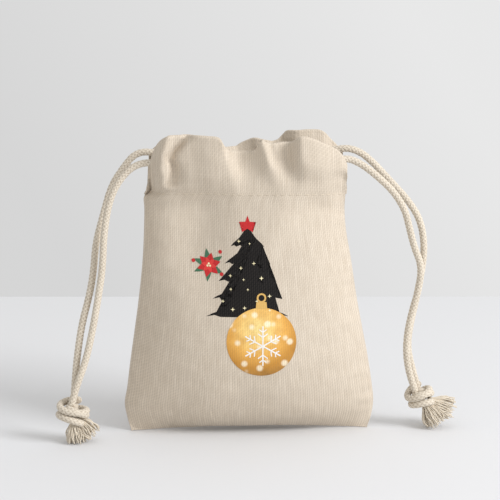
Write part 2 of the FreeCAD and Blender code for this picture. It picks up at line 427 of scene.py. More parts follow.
def panel_grid(side):
    """A whole panel from its bottom seam over the rim and down the inside of the hem.

    Returns the points, the outward normals and the cloth's own length at each row, with the
    outer rows with their narrow folds evened out, for whatever runs inside the casing.
    """
    sign = OUTWARD[side]
    u = np.linspace(-1, 1, 2 * HALF_COLUMNS + 1)[None, :]
    body = np.linspace(0, 1, BODY_ROWS)
    casing = np.linspace(0, 1, CASING_ROWS + 1)[1:]
    length = np.concatenate([body, np.ones(CASING_ROWS)])[:, None] * BODY_LENGTH
    share = np.concatenate([np.zeros(BODY_ROWS), casing])[:, None]
    outer = outer_surface(side, u, length, share)
    level = unit(grid_normals(outer, sign) * [1, 1, 0])
    rim_out = level[-1]
    centre = outer[-1] - rim_out * HEM_RADIUS
    angles = np.linspace(0, math.pi, CAP_ROWS + 2)[1:-1]
    up = np.array([0.0, 0.0, 1.0])
    cap = [centre + HEM_RADIUS * (rim_out * math.cos(a) + up * math.sin(a)) for a in angles]
    relaxed = smoothed_rows(outer)
    hem = []
    for part in np.linspace(1, 0, HEM_ROWS):
        row = BODY_ROWS - 1 + part * CASING_ROWS
        low = int(math.floor(row))
        high = min(low + 1, len(outer) - 1)
        blend = row - low
        place, free, inward = [
            rows[low] * (1 - blend) + rows[high] * blend for rows in (outer, relaxed, level)
        ]
        follow = smoothstep(part, 0.75, 1.0)
        inward = inward * follow + np.array([0, sign, 0]) * (1 - follow)
        hem.append(place * follow + free * (1 - follow) - unit(inward) * smooth_through(part, HEM_GAP))
    points = np.concatenate([outer, np.array(cap), np.array(hem)])
    return {
        "points": points,
        "normals": grid_normals(points, sign),
        "length": arc_length(points[:, HALF_COLUMNS]),
        "relaxed": relaxed,
        "u": u[0],
    }


GRIDS = {side: panel_grid(side) for side in OUTWARD}


def casing_line(side, share, depth_share, columns):
    """A line inside the casing at a share of its height, part of the way through it."""
    row = BODY_ROWS - 1 + int(round(share * CASING_ROWS))
    inward = smooth_through(share, HEM_GAP) * depth_share
    line = GRIDS[side]["relaxed"][row] - [0, OUTWARD[side] * inward, 0]
    return line[columns]


# --- meshes ---


def new_piece(name, vertices, faces, material, uv=None, smooth=True):
    """A mesh piece from millimetre vertices; uv is a dict of layer name to per-vertex places."""
    mesh = bpy.data.meshes.new(name)
    mesh.from_pydata((np.asarray(vertices) * MM).tolist(), [], [tuple(f) for f in faces])
    for layer_name, places in (uv or {}).items():
        layer = mesh.uv_layers.new(name=layer_name)
        corners = np.zeros(len(mesh.loops), np.int32)
        mesh.loops.foreach_get("vertex_index", corners)
        layer.data.foreach_set("uv", np.asarray(places, np.float32)[corners].ravel())
    if smooth:
        mesh.polygons.foreach_set("use_smooth", np.ones(len(mesh.polygons), bool))
    mesh.materials.append(material)
    mesh.update()
    return put_in_scene(name, mesh)


def grid_faces(rows, columns, start, flip):
    """Quads of a grid of vertices numbered row by row."""
    low = start + np.arange((rows - 1) * columns).reshape(rows - 1, columns)[:, :-1]
    faces = np.stack([low, low + 1, low + 1 + columns, low + columns], axis=-1).reshape(-1, 4)
    return faces[:, ::-1] if flip else faces


def cloth_half(name, side, columns, material):
    """Half of a panel as cloth with real thickness and a closed rim of its own."""
    grid = GRIDS[side]
    outer = grid["points"][:, columns]
    inner = outer - grid["normals"][:, columns] * CLOTH_THICKNESS
    rows, count = outer.shape[:2]
    flip = side == "back"
    total = rows * count
    faces = [grid_faces(rows, count, 0, flip), grid_faces(rows, count, total, not flip)]
    ids = np.arange(total).reshape(rows, count)
    border = np.concatenate([ids[0], ids[1:, -1], ids[-1, -2::-1], ids[-2:0:-1, 0]])
    after = np.roll(border, -1)
    rim = np.stack([border + total, after + total, after, border], axis=-1)
    faces.append(rim[:, ::-1] if flip else rim)
    vertices = np.concatenate([outer.reshape(-1, 3), inner.reshape(-1, 3)])
    across = grid["u"][columns] * FLAT_WIDTH / 2
    place = np.stack(np.broadcast_arrays(across[None, :], grid["length"][:, None]), axis=-1)
    place = np.concatenate([place.reshape(-1, 2)] * 2)
    piece = new_piece(name, vertices, np.concatenate(faces), material, {"weave": place})
    mark_sharp(piece, border, total)
    return piece


def mark_sharp(piece, border, total):
    """Keeps a cloth's cut edge from rounding the shading of its two faces."""
    mesh = piece.data
    ends = np.zeros(len(mesh.edges) * 2, np.int32)
    mesh.edges.foreach_get("vertices", ends)
    ends = ends.reshape(-1, 2)
    on_border = np.zeros(2 * total, bool)
    on_border[border] = True
    on_border[border + total] = True
    same_layer = (ends[:, 0] < total) == (ends[:, 1] < total)
    sharp = on_border[ends[:, 0]] & on_border[ends[:, 1]] & same_layer
    attribute = mesh.attributes.new("sharp_edge", "BOOLEAN", "EDGE")
    attribute.data.foreach_set("value", sharp)


def tube_frames(points):
    """Two directions square to a line, which don't twist along it."""
    along = unit(np.gradient(points, axis=0))
    first = np.zeros_like(points)
    start = np.cross(along[0], [0.31, 0.87, 0.38])
    first[0] = start / np.linalg.norm(start)
    for k in range(1, len(points)):
        turned = first[k - 1] - along[k] * (first[k - 1] @ along[k])
        first[k] = turned / np.linalg.norm(turned)
    return first, np.cross(along, first)


def respace(points, spacing):
    """The same line with points at an even spacing."""
    length = arc_length(points)
    count = max(3, int(round(length[-1] / spacing)) + 1)
    return places_on(points, length, np.linspace(0, length[-1], count))


def tube_shape(points, radius, sides, radius_at=None):
    """Vertices, faces and each vertex's relief of a round tube with closed ends."""
    points = np.asarray(points, float)
    first, second = tube_frames(points)
    length = arc_length(points)
    angle = np.linspace(0, 2 * math.pi, sides, endpoint=False)
    size = np.full((len(points), sides), radius)
    if radius_at is not None:
        size = size * radius_at(length[:, None], angle[None, :])
    turn = angle[None, :, None]
    ring = np.cos(turn) * first[:, None] + np.sin(turn) * second[:, None]
    vertices = (points[:, None] + ring * size[..., None]).reshape(-1, 3)
    k, j = np.meshgrid(np.arange(len(points) - 1), np.arange(sides), indexing="ij")
    base = k * sides
    after = (j + 1) % sides
    quads = np.stack([base + j, base + after, base + sides + after, base + sides + j], axis=-1)
    faces = [tuple(f) for f in quads.reshape(-1, 4)]
    faces.append(tuple(range(sides - 1, -1, -1)))
    last = (len(points) - 1) * sides
    faces.append(tuple(range(last, last + sides)))
    return vertices, faces, (size / radius).reshape(-1)


def join_shapes(shapes):
    """Several (vertices, faces, relief) shapes as one."""
    vertices, faces, relief = [], [], []
    start = 0
    for some_vertices, some_faces, some_relief in shapes:
        vertices.append(some_vertices)
        relief.append(some_relief)
        faces.extend(tuple(v + start for v in face) for face in some_faces)
        start += len(some_vertices)
    return np.concatenate(vertices), faces, np.concatenate(relief)


def relief_piece(name, shape, material):
    """A piece whose relief is kept as an attribute, so that its grooves can take painted shade."""
    vertices, faces, relief = shape
    piece = new_piece(name, vertices, faces, material)
    attribute = piece.data.attributes.new("relief", "FLOAT", "POINT")
    attribute.data.foreach_set("value", relief.astype(np.float32))
    return piece


# --- braided cord ---

CORD_RADIUS = 1.4
BRAID_PITCH = 6.2
BRAID_CARRIERS = 4
BRAID_DEPTH = 0.15
BRAID_RIDGE = BRAID_DEPTH * 1.35


def braid(along, around):
    """The cord's relief: two families of strands that pass over and under each other."""
    turns = BRAID_CARRIERS * around / (2 * math.pi)
    climb = BRAID_CARRIERS * along / BRAID_PITCH
    one = turns + climb
    other = turns - climb
    over = np.cos(math.pi * (one + other)) * np.cos(math.pi * (one - other) / 2)
    mix = smoothstep(over, -0.25, 0.25)
    ridge = np.abs(np.sin(math.pi * one)) * mix + np.abs(np.sin(math.pi * other)) * (1 - mix)
    return 1 - BRAID_DEPTH + BRAID_RIDGE * ridge**0.7


def braided_shape(points, radius=CORD_RADIUS, spacing=0.24, sides=30):
    """A braided tube along a line."""
    return tube_shape(respace(points, spacing), radius, sides, braid)


def route_line(name, route):
    """Places along the smooth line of a route, whose points are the line's control points."""
    curve = bpy.data.curves.new(name, "CURVE")
    curve.dimensions = "3D"
    curve.resolution_u = 24
    spline = curve.splines.new("NURBS")
    spline.points.add(len(route) - 1)
    for point, place in zip(spline.points, route):
        point.co = (*place, 1)
    spline.order_u = 3
    spline.use_endpoint_u = True
    holder = put_in_scene(name, curve)
    mesh = bpy.data.meshes.new_from_object(holder)
    line = np.array([vertex.co for vertex in mesh.vertices])
    bpy.data.objects.remove(holder)
    bpy.data.meshes.remove(mesh)
    bpy.data.curves.remove(curve)
    return line / MM


# The free strands' routes, in metres: from inside the casing's end to inside the knot
ROUTES = {
    "left_strand_front": [
        (-0.0340, -0.0086, 0.1124), (-0.0398, -0.0068, 0.1133), (-0.0472, -0.0070, 0.1117),
        (-0.0532, -0.0080, 0.1054), (-0.0570, -0.0086, 0.0972), (-0.0592, -0.0096, 0.0840),
        (-0.0596, -0.0120, 0.0710), (-0.0612, -0.0142, 0.0600), (-0.0634, -0.0168, 0.0470),
        (-0.0664, -0.0192, 0.0335), (-0.0706, -0.0212, 0.0225), (-0.0722, -0.0216, 0.0160),
    ],
    "left_strand_back": [
        (-0.0345, 0.0048, 0.1142), (-0.0402, 0.0048, 0.1161), (-0.0470, 0.0046, 0.1155),
        (-0.0522, 0.0034, 0.1092), (-0.0568, 0.0006, 0.1022), (-0.0600, -0.0028, 0.0905),
        (-0.0628, -0.0062, 0.0800), (-0.0636, -0.0090, 0.0685), (-0.0652, -0.0118, 0.0590),
        (-0.0682, -0.0142, 0.0480), (-0.0698, -0.0162, 0.0370), (-0.0708, -0.0178, 0.0280),
        (-0.0716, -0.0186, 0.0165),
    ],
    "right_strand_front": [
        (0.0324, -0.0098, 0.1132), (0.0380, -0.0070, 0.1153), (0.0450, -0.0070, 0.1125),
        (0.0520, -0.0070, 0.1069), (0.0582, -0.0060, 0.1010), (0.0630, -0.0050, 0.0935),
        (0.0650, -0.0040, 0.0858), (0.0672, -0.0026, 0.0776), (0.0706, -0.0012, 0.0695),
        (0.0696, -0.0014, 0.0600), (0.0670, -0.0016, 0.0510), (0.0650, -0.0014, 0.0410),
        (0.0648, -0.0008, 0.0320), (0.0664, 0.0000, 0.0230), (0.0690, 0.0004, 0.0160),
    ],
    "right_strand_back": [
        (0.0310, 0.0056, 0.1158), (0.0376, 0.0048, 0.1178), (0.0444, 0.0058, 0.1164),
        (0.0504, 0.0070, 0.1116), (0.0573, 0.0062, 0.1042), (0.0646, 0.0052, 0.0965),
        (0.0700, 0.0042, 0.0884), (0.0720, 0.0034, 0.0785), (0.0714, 0.0026, 0.0690),
        (0.0689, 0.0016, 0.0555), (0.0664, 0.0016, 0.0440), (0.0655, 0.0022, 0.0350),
        (0.0673, 0.0030, 0.0265), (0.0703, 0.0036, 0.0165),
    ],
}


# --- knots and tassels ---

KNOT_SWELL = 1.07  # the shown knot's size beside the CAD knot's
KNOT_TURNS = 1.45  # how often each strand goes round
KNOT_POINTS = 14
KNOT_WAVE = 0.9
KNOT_RISE = 1.35  # how far each strand's turns lie above or below the knot's middle
KNOT_START = 0.6
KNOT_LEANS = {"left": 0.12, "right": -0.45}
KNOT_ENDS = (0.35, 0.8)  # how far out a strand's first two and last two points reach
CORE_HEIGHTS = (0.62, 0.2, -0.2, -0.62)
CORE_RADIUS = 2.2
YARN_COUNT = 120
YARN_STEPS = 13
YARN_CURL = 0.42
LOWEST_YARN = 0.3  # the height of the lowest yarns' middle line above the floor
BUNDLE_RADIUS = 1.3  # where the yarns leave the knot


def knot_strand(middle, size, lean, rise, start):
    """One strand's way through a drawn-up overhand knot, from its heart round it and back inside."""
    angle = start + np.linspace(0, 2 * math.pi * KNOT_TURNS, KNOT_POINTS)
    height = rise + np.linspace(size[2] * 0.5, -size[2] * 0.5, KNOT_POINTS)
    reach = np.ones(KNOT_POINTS)
    reach[:2] = KNOT_ENDS
    reach[-2:] = KNOT_ENDS[::-1]
    across = (size[0] - CORD_RADIUS) * np.cos(angle) * reach
    deep = (size[1] - CORD_RADIUS) * np.sin(angle) * reach
    line = np.stack([across, deep, height + KNOT_WAVE * np.sin(angle + start)], axis=1)
    cos, sin = math.cos(lean), math.sin(lean)
    tilt = np.array([[cos, 0, sin], [0, 1, 0], [-sin, 0, cos]])
    return line @ tilt.T + middle


def smooth_line(points, rounds=3):
    """A line with its corners cut off a few times."""
    for _ in range(rounds):
        near = points[:-1] * 0.75 + points[1:] * 0.25
        far = points[:-1] * 0.25 + points[1:] * 0.75
        between = np.stack([near, far], axis=1).reshape(-1, 3)
        points = np.concatenate([points[:1], between, points[-1:]])
    return points


def make_knot(end_name, material):
    """An overhand knot of the doubled cord, at the CAD knot's place."""
    low, high = node_box(f"{end_name}_knot")
    middle = (low + high) / 2
    size = (high - low) / 2 * KNOT_SWELL
    shapes = []
    for rise, start in ((KNOT_RISE, KNOT_START), (-KNOT_RISE, KNOT_START + math.pi)):
        line = smooth_line(knot_strand(middle, size, KNOT_LEANS[end_name], rise, start))
        shapes.append(braided_shape(line))
    core = middle + np.array([(0, 0, height) for height in CORE_HEIGHTS]) * size[2]
    shapes.append(tube_shape(smooth_line(core), CORE_RADIUS, 24))
    return relief_piece(f"{end_name}_overhand_knot", join_shapes(shapes), material)


def make_tassel(name, start, direction, length, spread, seed, material):
    """A cord's frayed end: curly yarns that part as they leave the knot."""
    random = np.random.RandomState(seed)
    direction = np.array(direction, float) / np.linalg.norm(direction)
    side = unit(np.cross(direction, [0.2, 1.0, 0.1]))
    other = np.cross(direction, side)
    shapes = []
    steps = np.linspace(0, 1, YARN_STEPS)
    bulge = BUNDLE_RADIUS + (spread - BUNDLE_RADIUS) * smoothstep(steps, 0, 0.8)
    for _ in range(YARN_COUNT):
        angle = random.uniform(0, 2 * math.pi)
        reach = math.sqrt(random.uniform(0, 1))
        own_length = length * random.uniform(0.72, 1.05)
        radial = side * math.cos(angle) + other * math.sin(angle)
        line = start + direction * (own_length * steps)[:, None] + radial * (reach * bulge)[:, None]
        for axis in (side, other):
            phase = random.uniform(0, 2 * math.pi)
            waves = random.uniform(4.0, 9.0)
            line = line + axis * (YARN_CURL * steps * np.sin(phase + waves * steps))[:, None]
        line[:, 2] = np.maximum(line[:, 2], LOWEST_YARN)
        shapes.append(tube_shape(line, random.uniform(0.18, 0.27), 6))
    return relief_piece(name, join_shapes(shapes), material)


# --- the print ---

PRINT_GRID = 1.3
PRINT_LIFT = 0.05
PRINT_HALF_WIDTH = 45.0  # about half the cloth's width where the print lies
SEARCH_HALF_WIDTH = 48.0


def front_place(x, z):
    """The place on the front cloth seen at x and z, its outward normal and its weave place."""
    grid = GRIDS["front"]
    u = x / PRINT_HALF_WIDTH
    for _ in range(6):
        column = (u + 1) * HALF_COLUMNS
        low = np.clip(np.floor(column).astype(int), 0, 2 * HALF_COLUMNS - 1)
        part = column - low
        heights = grid["points"][:BODY_ROWS, :, 2]
        row = np.array([
            np.interp(h, heights[:, a] * (1 - p) + heights[:, a + 1] * p, np.arange(BODY_ROWS))
            for h, a, p in zip(z, low, part)
        ])
        place = sample_grid(grid["points"], row, column)
        u = u + (x - place[:, 0]) / SEARCH_HALF_WIDTH
    normal = unit(sample_grid(grid["normals"], row, column))
    length = np.interp(row, np.arange(len(grid["length"])), grid["length"])
    return place, normal, np.stack([u * FLAT_WIDTH / 2, length], axis=1)


def sample_grid(values, row, column):
    """Values between a grid's points."""
    r = np.clip(np.floor(row).astype(int), 0, values.shape[0] - 2)
    c = np.clip(np.floor(column).astype(int), 0, values.shape[1] - 2)
    fr = (row - r)[:, None]
    fc = (column - c)[:, None]
    top = values[r + 1, c] * (1 - fc) + values[r + 1, c + 1] * fc
    low = values[r, c] * (1 - fc) + values[r, c + 1] * fc
    return low * (1 - fr) + top * fr


def flat_print(outlines):
    """A bmesh of flat outlines, each a list of (x, z), cut finely enough to bend with the cloth."""
    work = bmesh.new()
    for outline in outlines:
        corners = [work.verts.new((x, 0, z)) for x, z in outline]
        face = work.faces.new(corners)
        bmesh.ops.triangulate(work, faces=[face])
    places = np.array([v.co for v in work.verts])
    low, high = places.min(axis=0), places.max(axis=0)
    for axis, direction in ((0, (1, 0, 0)), (2, (0, 0, 1))):
        for cut in np.arange(math.ceil(low[axis] / PRINT_GRID) * PRINT_GRID, high[axis], PRINT_GRID):
            point = [0, 0, 0]
            point[axis] = cut
            geometry = work.verts[:] + work.edges[:] + work.faces[:]
            bmesh.ops.bisect_plane(work, geom=geometry, plane_co=point, plane_no=direction)
    return work


def print_piece(name, outlines, layer, material):
    """A layer of the print on the front cloth."""
    work = flat_print(outlines)
    flat = np.array([v.co for v in work.verts])
    work.verts.index_update()
    faces = [[v.index for v in face.verts] for face in work.faces]
    work.free()
    place, normal, weave = front_place(flat[:, 0], flat[:, 2])
    vertices = place + normal * PRINT_LIFT * (layer + 1)
    first, second, third = vertices[faces[0][:3]]
    if np.cross(second - first, third - second)[1] > 0:
        faces = [face[::-1] for face in faces]
    uv = {"weave": weave, "design": flat[:, [0, 2]]}
    return new_piece(name, vertices, faces, material, uv)


def heading(angle):
    """A direction in the print's plane."""
    return np.array([math.cos(angle), math.sin(angle)])


def ring_outline(x, z, radius, count=64):
    """A circle as an outline."""
    angle = np.linspace(0, 2 * math.pi, count, endpoint=False)
    return [(x + radius * math.cos(a), z + radius * math.sin(a)) for a in angle]


def star_outline(x, z, outer, inner, points, turn=math.pi / 2):
    """A star as an outline."""
    outline = []
    for k in range(2 * points):
        radius = outer if k % 2 == 0 else inner
        angle = turn + math.pi * k / points
        outline.append((x + radius * math.cos(angle), z + radius * math.sin(angle)))
    return outline


def petal_outline(x, z, angle, length, width, steps=7):
    """A pointed petal that starts at x and z."""
    share = np.linspace(0, 1, steps)
    half = width / 2 * np.sin(math.pi * share**0.8)
    ahead = heading(angle)
    aside = np.array([-ahead[1], ahead[0]])
    right, left = [
        [np.array([x, z]) + ahead * length * s + way * aside * h for s, h in zip(share, half)]
        for way in (-1, 1)
    ]
    return [tuple(p) for p in right + left[-2:0:-1]]


def bar_outline(start, end, width):
    """A thin bar between two places."""
    start, end = np.array(start), np.array(end)
    ahead = (end - start) / np.linalg.norm(end - start)
    aside = np.array([-ahead[1], ahead[0]]) * width / 2
    return [tuple(start - aside), tuple(end - aside), tuple(end + aside), tuple(start + aside)]


TREE_FOOT, TREE_TOP, TREE_X, TREE_HALF = 53.0, 88.0, -1.0, 16.5
BAUBLE_X, BAUBLE_Z, BAUBLE_R = 4.6, 41.5, 14.1
FLOWER_X, FLOWER_Z = -16.6, 72.0


def tree_outline():
    """A fir tree of five drooping tiers."""
    tiers = 5
    height = (TREE_TOP - TREE_FOOT) / tiers
    right = [(0.0, TREE_TOP)]
    for k in range(tiers):
        low = TREE_TOP - (k + 1) * height
        half = TREE_HALF * (0.26 + 0.74 * (k + 1) / tiers)
        right += [
            (half * 0.50, low + height * 0.34),
            (half * 0.86, low + height * 0.02),
            (half, low - 1.1),
            (half * 0.80, low - 0.5),
            (half * 0.66, low - 1.2),
            (half * 0.50, low - 0.3),
            (half * 0.36, low - 0.9),
        ]
    left = [(-x, z) for x, z in right[:0:-1]]
    return [(TREE_X + x, z) for x, z in right + left]


def snowflake_outlines(x, z, radius):
    """Six branched arms."""
    outlines = []
    centre = np.array([x, z])
    for k in range(6):
        angle = math.pi / 6 + k * math.pi / 3
        arm = heading(angle) * radius
        outlines.append(bar_outline(centre, centre + arm, 0.55))
        for share, branch in ((0.45, 0.30), (0.70, 0.22)):
            root = centre + arm * share
            for bend in (-1, 1):
                tip = root + heading(angle + bend * math.pi / 3.4) * radius * branch
                outlines.append(bar_outline(root, tip, 0.45))
    return outlines


def scattered(count, inside, size_low, size_high, seed, apart):
    """Small four-pointed sparkles at seeded places."""
    random = np.random.RandomState(seed)
    chosen = []
    while len(chosen) < count:
        x, z = random.uniform(-20, 20), random.uniform(25, 90)
        far = all(math.hypot(x - a, z - b) > apart for a, b in chosen)
        if far and inside(x, z):
            chosen.append((x, z))
    outlines = []
    for x, z in chosen:
        size = random.uniform(size_low, size_high)
        outlines.append(star_outline(x, z, size, size * 0.3, 4))
    return outlines


def inside_tree(x, z):
    """Whether a place lies well within the tree."""
    share = (TREE_TOP - z) / (TREE_TOP - TREE_FOOT)
    return 0.12 < share < 0.96 and abs(x - TREE_X) < TREE_HALF * (0.12 + 0.62 * share)


def flower_petals(angles, length, width):
    """Petals or leaves round the flower's middle, at angles in degrees."""
    return [petal_outline(FLOWER_X, FLOWER_Z, math.radians(a), length, width) for a in angles]


def dots(places, radius, count):
    """Small round outlines."""
    return [ring_outline(x, z, radius, count) for x, z in places]


def print_layers():
    """Every layer of the print: its name, outlines, how far out it lies, and its ink."""
    top = BAUBLE_Z + BAUBLE_R
    hearts = [(FLOWER_X + a, FLOWER_Z + b) for a, b in ((0, 0.55), (0.5, -0.3), (-0.5, -0.3))]
    cap = [(-2.3, -0.5), (2.3, -0.5), (2.0, 2.3), (-2.0, 2.3)]
    eye = ring_outline(BAUBLE_X, top + 3.9, 1.6, 14)
    snowflake = snowflake_outlines(BAUBLE_X + 0.6, BAUBLE_Z - 1.6, 8.2)
    return [
        ("tree", [tree_outline()], 0, "black"),
        ("tree_lights", scattered(15, inside_tree, 0.55, 0.95, 21, 4.2), 1, "cream"),
        ("tree_star", [star_outline(TREE_X, TREE_TOP + 0.6, 3.6, 1.5, 5)], 1, "red"),
        ("bauble", [ring_outline(BAUBLE_X, BAUBLE_Z, BAUBLE_R)], 1, "gold"),
        ("bauble_cap", [[(BAUBLE_X + a, top + b) for a, b in cap]], 2, "cap"),
        ("bauble_loop", [bar_outline(a, b, 0.7) for a, b in zip(eye, eye[1:] + eye[:1])], 2, "cap"),
        ("snowflake", snowflake, 2, "white"),
        ("leaves", flower_petals((35, 100, 160, 205, 265, 330), 6.6, 2.4), 1, "green"),
        ("petals", flower_petals(range(18, 360, 60), 4.9, 2.7), 2, "red"),
        ("small_petals", flower_petals(range(48, 360, 60), 3.2, 1.7), 3, "bright_red"),
        ("berries", dots(((-22.9, 73.6), (-12.0, 77.4), (-11.4, 68.6)), 0.75, 16), 2, "red"),
        ("flower_heart", dots(hearts, 0.42, 12), 4, "cream"),
    ]


# --- materials ---


class Nodes:
    """Short ways to add and join a material's shader nodes."""

    def __init__(self, name):
        self.material = bpy.data.materials.new(name)
        self.material.use_nodes = True
        self.tree = self.material.node_tree
        self.shader = self.tree.nodes["Principled BSDF"]

    def join(self, source, target):
        """Sets a socket to a colour or a number, or links it to another node's socket."""
        if isinstance(source, tuple):
            target.default_value = (*source, 1)
        elif isinstance(source, (int, float)):
            target.default_value = source
        else:
            self.tree.links.new(source, target)

    def add(self, kind, inputs=(), **settings):
        """A new node, with its settings made before its inputs are joined."""
        node = self.tree.nodes.new(kind)
        for key, value in settings.items():
            setattr(node, key, value)
        for key, value in dict(inputs).items():
            self.join(value, node.inputs[key])
        return node

    def math(self, operation, *values):
        return self.add("ShaderNodeMath", enumerate(values), operation=operation).outputs[0]

    def times(self, first, second):
        return self.math("MULTIPLY", first, second)

    def scaled(self, value, factor, offset):
        return self.math("MULTIPLY_ADD", value, factor, offset)

    def mix(self, share, first, second):
        inputs = {"Factor": share, "A": first, "B": second}
        return self.add("ShaderNodeMix", inputs, data_type="RGBA").outputs["Result"]

    def noise(self, place, scale, detail=2.0, roughness=0.5):
        inputs = {"Vector": place, "Scale": scale, "Detail": detail, "Roughness": roughness}
        return self.add("ShaderNodeTexNoise", inputs).outputs["Fac"]

    def combine(self, *values):
        return self.add("ShaderNodeCombineXYZ", enumerate(values)).outputs[0]

    def uv(self, name):
        place = self.add("ShaderNodeUVMap", uv_map=name).outputs[0]
        parts = self.add("ShaderNodeSeparateXYZ", {0: place}).outputs
        return parts[0], parts[1]

    def bump(self, height, strength, distance):
        inputs = {"Height": height, "Strength": strength, "Distance": distance}
        self.join(self.add("ShaderNodeBump", inputs).outputs[0], self.shader.inputs["Normal"])

    def finish(self, colour, roughness, sheen=0.0, gloss=0.15):
        names = ("Base Color", "Roughness", "Sheen Weight", "Specular IOR Level")
        for name, value in zip(names, (colour, roughness, sheen, gloss)):
            self.join(value, self.shader.inputs[name])
        return self.material


def matt_material(name, colour):
    """A plain material without gloss for the background."""
    return Nodes(name).finish(colour, 1.0, gloss=0.0)


WARP_PITCH = 0.93
WEFT_PITCH = 0.74
THREAD_BUMP = 0.00016  # in metres


def thread_height(nodes, place, crossing, wave_share, rest):
    """The number and height of a thread, from the places across it and along it in threads."""
    number = nodes.math("FLOOR", place)
    ridge = nodes.math("SINE", nodes.times(nodes.math("FRACT", place), math.pi))
    wave = nodes.math("COSINE", nodes.times(nodes.math("ADD", crossing, number), math.pi))
    return number, nodes.times(ridge, nodes.scaled(wave, wave_share, rest))


def uneven_place(nodes, place, across, along):
    """A place that wanders a little, faster in one direction than in the other."""
    wander = nodes.noise(nodes.combine(nodes.times(*across), nodes.times(*along)), 1.0)
    return nodes.scaled(wander, 1.1, place)


def weave_height(nodes):
    """A plain weave's height from 0 to 1, with each thread's own shade beside it."""
    u, v = nodes.uv("weave")
    across = uneven_place(nodes, u, (u, 0.22), (v, 0.05))
    along = uneven_place(nodes, v, (u, 0.05), (v, 0.22))
    warp = nodes.math("DIVIDE", across, WARP_PITCH)
    weft = nodes.math("DIVIDE", along, WEFT_PITCH)
    warp_number, warp_high = thread_height(nodes, warp, weft, 0.14, 0.86)
    weft_number, weft_high = thread_height(nodes, weft, warp, -0.18, 0.52)
    warp_place = nodes.combine(nodes.times(warp_number, 3.7), nodes.times(along, 0.11))
    weft_place = nodes.combine(nodes.times(across, 0.07), nodes.times(weft_number, 5.3), 4.0)
    warp_shade = nodes.noise(warp_place, 1.0, 3.0)
    weft_shade = nodes.noise(weft_place, 1.0, 3.0)
    on_warp = nodes.math("GREATER_THAN", warp_high, weft_high)
    shade = nodes.scaled(nodes.math("SUBTRACT", warp_shade, weft_shade), on_warp, weft_shade)
    return nodes.math("MAXIMUM", warp_high, weft_high), shade


def painted_gap_shade(nodes, height, power, strength):
    """How much of the painted shade between the threads shows, where they lie low."""
    return nodes.times(nodes.math("POWER", nodes.math("SUBTRACT", 1.0, height), power), strength)


def linen_material(name, light, dark, gap):
    """Undyed plain-weave cloth with uneven threads and painted shade in the gaps between them."""
    nodes = Nodes(name)
    height, shade = weave_height(nodes)
    thread = nodes.mix(nodes.scaled(shade, 2.0, -0.5), dark, light)
    # the gap colour is painted shade between the threads
    colour = nodes.mix(painted_gap_shade(nodes, height, 1.5, 0.6), thread, gap)
    nodes.bump(height, 0.4, THREAD_BUMP)
    return nodes.finish(colour, 0.92, 0.15)


def ink_material(name, colour, gap_shade_share, light=None):
    """Ink on the cloth, with painted shade in the low places between its threads."""
    nodes = Nodes(name)
    height, shade = weave_height(nodes)
    tone = nodes.mix(nodes.times(shade, 0.5), colour, light or colour)
    # the low places between the threads take a painted shade colour
    result = nodes.mix(painted_gap_shade(nodes, height, 2.0, gap_shade_share), tone, (0.30, 0.26, 0.21))
    nodes.bump(height, 0.35, THREAD_BUMP)
    return nodes.finish(result, 0.85)


GOLD_STOPS = [
    (0.0, (1.0, 0.86, 0.38)), (0.30, (1.0, 0.72, 0.26)), (0.58, (0.86, 0.47, 0.11)),
    (0.82, (0.52, 0.24, 0.04)), (1.0, (0.30, 0.15, 0.04)),
]
GLOW_PLACE = (BAUBLE_X - 1.5, BAUBLE_Z + 5.0)
GLOW_REACH = 19.0
SPOT_RANGE = {"From Min": 0.14, "From Max": 0.34, "To Min": 0.7, "To Max": 0.0}


def gold_ink_material():
    """The bauble: a glowing gold ball with soft points of light."""
    nodes = Nodes("ink_gold")
    height, _ = weave_height(nodes)
    x, z = nodes.uv("design")
    aside, above = [nodes.math("SUBTRACT", a, b) for a, b in zip((x, z), GLOW_PLACE)]
    square = nodes.math("ADD", nodes.times(aside, aside), nodes.times(above, above))
    share = nodes.math("DIVIDE", nodes.math("SQRT", square), GLOW_REACH)
    ramp = nodes.add("ShaderNodeValToRGB", {"Fac": share})
    elements = ramp.color_ramp.elements
    while len(elements) < len(GOLD_STOPS):
        elements.new(0.5)
    for element, (position, colour) in zip(elements, GOLD_STOPS):
        element.position = position
        element.color = (*colour, 1)
    place = nodes.combine(x, z)
    cloudy = nodes.scaled(nodes.noise(place, 0.22, 3.0), 1.6, -0.45)
    points = nodes.add("ShaderNodeTexVoronoi", {"Vector": place, "Scale": 0.19}, feature="F1")
    spot_inputs = {"Value": points.outputs["Distance"], **SPOT_RANGE}
    spot = nodes.add("ShaderNodeMapRange", spot_inputs, interpolation_type="SMOOTHSTEP")
    warm = nodes.mix(cloudy, ramp.outputs["Color"], (0.62, 0.30, 0.06))
    lit = nodes.mix(spot.outputs["Result"], warm, (1.0, 0.93, 0.72))
    # the low places between the threads take a painted shade colour
    colour = nodes.mix(painted_gap_shade(nodes, height, 2.0, 0.35), lit, (0.30, 0.20, 0.10))
    nodes.bump(height, 0.35, THREAD_BUMP)
    return nodes.finish(colour, 0.55)


def cord_material(name, light, dark):
    """Matt cotton with painted shade in its grooves, with a fine fibre noise."""
    nodes = Nodes(name)
    relief = nodes.add("ShaderNodeAttribute", attribute_name="relief").outputs["Fac"]
    place = nodes.add("ShaderNodeTexCoord").outputs["Object"]
    fibre = nodes.noise(place, 2600.0, 3.0, 0.6)
    patch = nodes.noise(place, 160.0)
    # painted shade: low relief in the braid's grooves mixes the colour towards the dark one
    depth = nodes.scaled(relief, 5.5, -4.75)
    for noise in (fibre, patch):
        depth = nodes.scaled(noise, 0.5, nodes.math("ADD", depth, -0.25))
    depth = nodes.math("MINIMUM", nodes.math("MAXIMUM", depth, 0.0), 1.0)
    nodes.bump(fibre, 0.5, 0.00012)
    return nodes.finish(nodes.mix(depth, dark, light), 0.95, 0.25)
